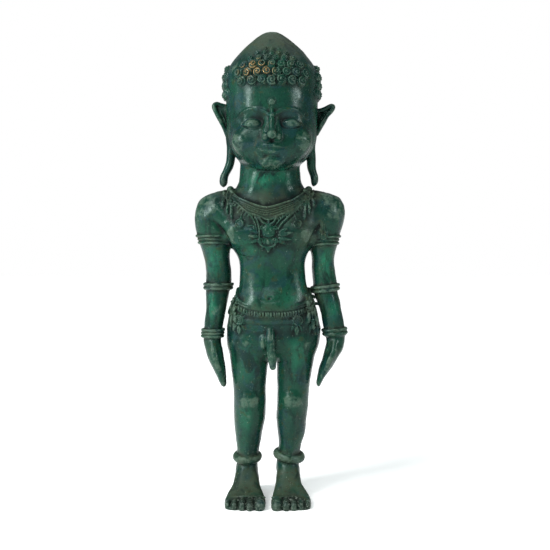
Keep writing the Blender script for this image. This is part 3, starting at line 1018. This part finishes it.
def blob(c, r, soft=0.45):
    """1 within a ball or egg, falling softly to 0 at its rim."""
    q = np.linalg.norm((co - np.array(c, float)) / np.array(r, float), axis=1)
    q = q + 0.16 * uneven(co, 14, 10, int(abs(c[0]) + abs(c[2])) % 97)
    return np.clip((1 - q) / soft, 0, 1)


# Worn gold-brown metal on the curls at the figure's right front, brightest at their tops.
gold = np.clip(blob((-20, -44, 419), (19, 14, 12)) + 0.6 * blob((-2, -46, 417), (9, 8, 9)), 0, 1)
# Bright green where the patina is thin: neck, upper arms, forearms, thighs, flanks.
green = np.zeros(nv)
for c, r, w in (((-12, -26, 316), (20, 10, 15), 1.0), ((16, -25, 318), (14, 10, 12), 0.7), ((-57, -16, 236), (10, 12, 19), 0.8),
                ((55, -16, 232), (9, 12, 17), 1.0), ((-60, -14, 192), (9, 10, 15), 0.9), ((62, -14, 188), (9, 10, 13), 0.6),
                ((-22, -22, 136), (12, 12, 26), 0.45), ((26, -22, 142), (12, 12, 22), 0.5), ((-26, -26, 250), (14, 10, 12), 0.45),
                ((20, -26, 196), (12, 9, 13), 0.5), ((-24, -16, 82), (10, 12, 20), 0.35), ((30, -18, 216), (8, 12, 18), 0.4),
                ((-20, 28, 235), (24, 14, 26), 0.6), ((18, 30, 158), (20, 14, 18), 0.5), ((20, 20, 96), (14, 14, 26), 0.4),
                ((-57, 12, 232), (12, 12, 24), 0.6), ((0, 54, 340), (30, 14, 16), 0.4)):
    green = np.maximum(green, w * blob(c, r, 0.7))
# Olive brown and grey on the cap, collar, shoulders by the collar, hips and feet.
olive = np.zeros(nv)
for c, r, w in (((1, 0, 452), (52, 56, 28), 1.0), ((-2, -28, 288), (44, 16, 20), 0.9), ((-40, -8, 300), (16, 22, 14), 0.8),
                ((38, -8, 300), (16, 22, 14), 1.0), ((-24, -16, 6), (30, 44, 30), 1.0), ((18, -16, 6), (30, 44, 30), 1.0),
                ((34, -24, 262), (22, 14, 24), 0.6), ((40, -10, 192), (14, 20, 22), 0.7), ((-38, -10, 186), (12, 18, 20), 0.6),
                ((1, -20, 186), (46, 26, 12), 0.55), ((-60, 0, 150), (12, 18, 18), 0.4), ((62, 0, 150), (12, 18, 18), 0.4),
                ((-59, 0, 257), (24, 26, 9), 0.8), ((52, 0, 256), (24, 26, 9), 0.8), ((-52, 2, 210), (20, 24, 7), 0.9),
                ((54, 2, 208.5), (20, 24, 7), 0.9), ((-58, 0, 164), (17, 18, 8), 0.9), ((63, 0, 165), (17, 18, 8), 0.9),
                ((-24, 4, 39), (24, 24, 10), 1.0), ((18, 4, 40.6), (24, 24, 10), 1.0)):
    olive = np.maximum(olive, w * blob(c, r, 0.5))


def paint(name, r, g, b):
    at = me.color_attributes.new(name, "FLOAT_COLOR", "POINT")
    v = np.stack([np.clip(r, 0, 1), np.clip(g, 0, 1), np.clip(b, 0, 1), np.ones(nv)], 1).astype(np.float32)
    at.data.foreach_set("color", v.ravel())


paint("form", dent, ridge, gold)
toes = np.maximum(blob((-24.8, -42, 5), (24, 12, 9)), blob((19.4, -42, 5), (24, 12, 9)))
paint("tint", green, olive, toes)


# ------------------------------------------------------------------ materials
TONE = 0.56


def lin(r, g, b):
    f = lambda c: c / 12.92 if c <= 0.04045 else ((c + 0.055) / 1.055) ** 2.4
    return (TONE * f(r / 255), TONE * f(g / 255), TONE * f(b / 255), 1.0)


class Shade:
    def __init__(self, name):
        self.mat = bpy.data.materials.new(name)
        self.mat.use_nodes = True
        self.nt = self.mat.node_tree
        self.nt.nodes.clear()
        self.out = self.nt.nodes.new("ShaderNodeOutputMaterial")
        self.b = self.nt.nodes.new("ShaderNodeBsdfPrincipled")
        self.nt.links.new(self.b.outputs[0], self.out.inputs[0])

    def node(self, kind, **kw):
        n = self.nt.nodes.new(kind)
        for k, v in kw.items():
            setattr(n, k, v)
        return n

    def put(self, socket, value):
        if hasattr(value, "is_output"):
            self.nt.links.new(value, socket)
        else:
            socket.default_value = value

    def math(self, op, a, b=0.0, c=0.0, clamp=False):
        n = self.node("ShaderNodeMath", operation=op, use_clamp=clamp)
        for s, v in zip(n.inputs, (a, b, c)):
            self.put(s, v)
        return n.outputs[0]

    def mix(self, a, b, f):
        n = self.node("ShaderNodeMix", data_type="RGBA")
        self.put(n.inputs[0], f)
        self.put(n.inputs[6], a)
        self.put(n.inputs[7], b)
        return n.outputs[2]

    def ramp(self, v, lo, hi, a=0.0, b=1.0):
        n = self.node("ShaderNodeMapRange", interpolation_type="SMOOTHSTEP")
        for s, q in zip(n.inputs, (v, lo, hi, a, b)):
            self.put(s, q)
        return n.outputs[0]

    def noise(self, where, scale, detail=4.0, rough=0.55, warp=0.0):
        n = self.node("ShaderNodeTexNoise")
        self.nt.links.new(where, n.inputs["Vector"])
        n.inputs["Scale"].default_value = scale
        n.inputs["Detail"].default_value = detail
        n.inputs["Roughness"].default_value = rough
        n.inputs["Distortion"].default_value = warp
        return n.outputs[0]


def bronze_material():
    s = Shade("patinated_bronze")
    where = s.node("ShaderNodeTexCoord").outputs["Object"]
    form = s.node("ShaderNodeVertexColor", layer_name="form")
    tint = s.node("ShaderNodeVertexColor", layer_name="tint")
    f = s.node("ShaderNodeSeparateColor")
    t = s.node("ShaderNodeSeparateColor")
    s.nt.links.new(form.outputs[0], f.inputs[0])
    s.nt.links.new(tint.outputs[0], t.inputs[0])
    dent, ridge, gold = f.outputs
    green, olive, toes = t.outputs
    streaks = s.node("ShaderNodeMapping")
    s.nt.links.new(where, streaks.inputs[0])
    streaks.inputs["Scale"].default_value = (1.0, 1.0, 0.40)
    shifted = s.node("ShaderNodeMapping")
    s.nt.links.new(where, shifted.inputs[0])
    shifted.inputs["Location"].default_value = (0.37, 0.11, 0.53)
    big = s.noise(where, 24, 3, 0.5, 0.3)
    drift = s.noise(streaks.outputs[0], 78, 6, 0.66, 0.8)
    other = s.noise(shifted.outputs[0], 60, 6, 0.66, 0.6)
    mid = s.noise(where, 130, 6, 0.66, 0.5)
    small = s.noise(where, 430, 4, 0.6)
    dust = s.noise(where, 820, 2, 0.5)
    # deep viridian ground, with patches of other patinas over it
    col = s.mix(lin(18, 54, 46), lin(25, 72, 54), s.ramp(big, 0.36, 0.62))
    col = s.mix(col, lin(26, 58, 66), s.math("MULTIPLY", s.ramp(other, 0.50, 0.60), 0.55))
    bright = s.math("MULTIPLY", green, s.ramp(drift, 0.40, 0.52))
    col = s.mix(col, lin(36, 120, 90), s.math("MULTIPLY", bright, 0.75))
    brown = s.math("MULTIPLY", olive, s.ramp(mid, 0.26, 0.48))
    col = s.mix(col, lin(62, 74, 56), s.math("MULTIPLY", brown, 0.82))
    col = s.mix(col, lin(84, 66, 42), s.math("MULTIPLY", s.math("MULTIPLY", olive, s.ramp(small, 0.56, 0.66)), 0.4))
    col = s.mix(col, lin(60, 62, 26), s.math("MULTIPLY", s.ramp(mid, 0.57, 0.64), 0.45))
    col = s.mix(col, lin(6, 30, 26), s.math("MULTIPLY", s.ramp(drift, 0.47, 0.38), 0.6))
    edge = s.ramp(ridge, 0.32, 0.75)
    col = s.mix(col, lin(100, 124, 106), s.math("MULTIPLY", s.math("MULTIPLY", edge, s.ramp(mid, 0.38, 0.56)), 0.5))
    col = s.mix(col, lin(6, 16, 15), s.math("MULTIPLY", s.ramp(small, 0.57, 0.66), 0.42))
    col = s.mix(col, lin(3, 8, 8), s.math("MULTIPLY", dent, 0.97, clamp=True))
    col = s.mix(col, lin(20, 28, 24), s.math("MULTIPLY", toes, 0.6))
    scratch = s.math("MULTIPLY", toes, s.ramp(small, 0.55, 0.63))
    col = s.mix(col, lin(150, 164, 150), s.math("MULTIPLY", scratch, 0.5))
    specks = s.math("MULTIPLY", s.ramp(dust, 0.67, 0.73), s.ramp(mid, 0.46, 0.56))
    col = s.mix(col, lin(150, 172, 156), s.math("MULTIPLY", specks, 0.6))
    worn = s.math("MULTIPLY", gold, s.ramp(s.math("ADD", ridge, s.math("MULTIPLY", mid, 0.7)), 0.42, 0.8))
    col = s.mix(col, lin(138, 112, 72), s.math("MULTIPLY", worn, 0.85, clamp=True))
    s.put(s.b.inputs["Base Color"], col)
    rough = s.math("ADD", s.math("MULTIPLY", s.ramp(mid, 0.3, 0.7), 0.14), s.math("MULTIPLY", dent, 0.3))
    rough = s.math("ADD", rough, s.math("MULTIPLY", olive, 0.2))
    rough = s.math("ADD", rough, 0.2, clamp=True)
    s.put(s.b.inputs["Roughness"], rough)
    s.put(s.b.inputs["Metallic"], s.math("MULTIPLY", worn, 0.6, clamp=True))
    s.b.inputs["IOR"].default_value = 1.5
    s.b.inputs["Specular IOR Level"].default_value = 0.16
    s.b.inputs["Specular Tint"].default_value = (0.80, 1.0, 0.95, 1)
    bump = s.node("ShaderNodeBump")
    bump.inputs["Strength"].default_value = 0.3
    bump.inputs["Distance"].default_value = 0.0006
    h = s.math("ADD", s.math("MULTIPLY", mid, 0.8), s.math("MULTIPLY", small, 0.4))
    s.put(bump.inputs["Height"], h)
    s.nt.links.new(bump.outputs[0], s.b.inputs["Normal"])
    return s.mat


bronze = bronze_material()
me.materials.clear()
me.materials.append(bronze)
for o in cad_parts.values():
    for sl in o.material_slots:
        sl.material = bronze
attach(figure, "root")
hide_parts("figure")

# ------------------------------------------------------------------ floor, light and camera
floor_me = bpy.data.meshes.new("floor")
S = 6.0
floor_me.from_pydata([(-S, -S, 0), (S, -S, 0), (S, S, 0), (-S, S, 0)], [], [(0, 1, 2, 3)])
floor = bpy.data.objects.new("floor", floor_me)
bpy.context.scene.collection.objects.link(floor)
fs = Shade("pale_floor")
fs.b.inputs["Base Color"].default_value = (0.90, 0.90, 0.90, 1)
fs.b.inputs["Emission Color"].default_value = (0.97, 1.0, 0.99, 1)
fs.b.inputs["Emission Strength"].default_value = 0.27
fs.b.inputs["Roughness"].default_value = 0.6
fs.b.inputs["Specular IOR Level"].default_value = 0.1
floor_me.materials.append(fs.mat)

# a white backdrop, in a room that is dim for everything but the camera's own rays, so that the satin
# metal keeps its depth
world = bpy.data.worlds.new("studio")
bpy.context.scene.world = world
world.use_nodes = True
wt = world.node_tree
bg = wt.nodes["Background"]
way = wt.nodes.new("ShaderNodeTexCoord")
sep = wt.nodes.new("ShaderNodeSeparateXYZ")
wt.links.new(way.outputs["Generated"], sep.inputs[0])
high = wt.nodes.new("ShaderNodeMapRange")
high.interpolation_type = "SMOOTHSTEP"
wt.links.new(sep.outputs[2], high.inputs[0])
for k, v in ((1, -0.1), (2, 0.9), (3, 0.20), (4, 0.12)):
    high.inputs[k].default_value = v
seen = wt.nodes.new("ShaderNodeLightPath").outputs["Is Camera Ray"]
bright = wt.nodes.new("ShaderNodeMix")
bright.data_type = "FLOAT"
wt.links.new(seen, bright.inputs[0])
wt.links.new(high.outputs[0], bright.inputs[2])
bright.inputs[3].default_value = 1.0
wt.links.new(bright.outputs[0], bg.inputs[1])
hue = wt.nodes.new("ShaderNodeMix")
hue.data_type = "RGBA"
wt.links.new(seen, hue.inputs[0])
hue.inputs[6].default_value = (0.90, 1.0, 0.985, 1)
hue.inputs[7].default_value = (1.0, 1.0, 1.0, 1)
wt.links.new(hue.outputs[2], bg.inputs[0])


def area(name, at, to, size, power, color=(1, 1, 1), size_y=None):
    l = bpy.data.lights.new(name, "AREA")
    l.energy, l.size, l.color = power, size, color
    if size_y:
        l.shape, l.size_y = "RECTANGLE", size_y
    o = bpy.data.objects.new(name, l)
    o.location = at
    o.rotation_euler = (Vector(to) - Vector(at)).to_track_quat("-Z", "Y").to_euler()
    bpy.context.scene.collection.objects.link(o)
    return o


def sun(name, toward, strength, angle, color=(1, 1, 1)):
    l = bpy.data.lights.new(name, "SUN")
    l.energy, l.angle, l.color = strength, math.radians(angle), color
    o = bpy.data.objects.new(name, l)
    o.rotation_euler = Vector(toward).to_track_quat("-Z", "Y").to_euler()
    bpy.context.scene.collection.objects.link(o)


sun("key", (0.55, 0.58, -0.80), 2.1, 22)
sun("over", (0.0, -0.10, -1.0), 0.9, 70, (0.94, 1.0, 0.99))
sun("behind", (-0.2, -0.9, -0.5), 0.25, 110)
area("front_box", (-0.30, -1.50, 1.10), (0, 0, 0.28), 0.6, 8.0, (0.93, 0.98, 1.0), size_y=0.6)
area("left_box", (-1.02, -0.66, 0.62), (0, 0, 0.34), 0.20, 15.0, size_y=0.56)
area("left_window", (-1.30, 0.02, 0.50), (0, 0, 0.3), 0.36, 3.0, (0.72, 0.9, 1.0), size_y=0.8)
area("right_box", (1.06, -0.58, 0.62), (0, 0, 0.36), 0.09, 6.0, size_y=0.34)

FOCAL_PX, DIST = 817.0, 817.0                 # at the frame's 550 pixels; mm to the figure's middle
cam = bpy.data.cameras.new("camera")
cam.sensor_fit = "HORIZONTAL"
cam.sensor_width = 36.0
cam.lens = 36.0 * FOCAL_PX / 550
eye = bpy.data.objects.new("camera", cam)
eye.location = (4.0 * MM, -DIST * MM, 250 * MM)
eye.rotation_euler = (math.radians(90), 0, 0)
cam.shift_y = -(275 - 246.3) / 550
bpy.context.scene.collection.objects.link(eye)
bpy.context.scene.camera = eye
bpy.context.scene.view_settings.view_transform = "Standard"
bpy.context.scene.view_settings.look = "None"
